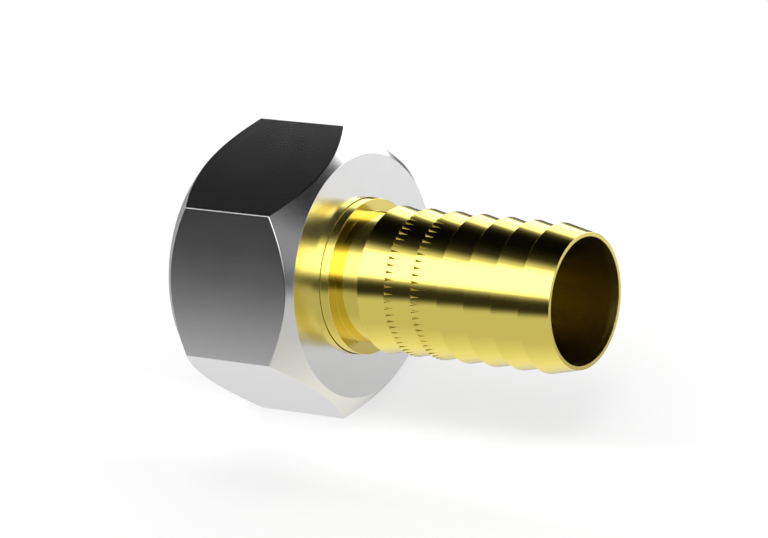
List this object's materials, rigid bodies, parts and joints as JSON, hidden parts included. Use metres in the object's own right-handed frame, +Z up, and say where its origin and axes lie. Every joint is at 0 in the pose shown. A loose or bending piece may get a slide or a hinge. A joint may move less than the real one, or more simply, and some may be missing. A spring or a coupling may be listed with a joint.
{
  "type": "hose coupling",
  "caption": "Hexagon union nut that swivels on a barbed brass hose tail and pulls a flat gasket against a threaded pipe end, to join a hose to a pipe.",
  "frame": {"origin": "centre of the hose tail's sealing face, where the gasket lies, on the coupling's axis", "axes": "+X along the hose tail towards the hose, +Z up with the nut lying on one of its flats"},
  "size_m": [0.08, 0.0578, 0.05],
  "materials": {
    "bright_plating": "fine-turned and polished, bright plated",
    "brass": "turned and polished",
    "gasket_rubber": "matte black sheet rubber"
  },
  "bodies": {
    "nut": {"union_nut": "bright_plating"},
    "gasket": {"flat_gasket": "gasket_rubber"},
    "tail": {"hose_tail": "brass"}
  },
  "joints": [
    {"name": "tail_slide", "type": "slide", "parent": "nut", "child": "gasket", "axis": [-1, 0, 0], "range_m": [0, 0.05]},
    {"name": "nut_swivel", "type": "hinge", "parent": "gasket", "child": "tail", "pos_m": [0, 0, 0], "axis": [1, 0, 0], "continuous": true}
  ]
}
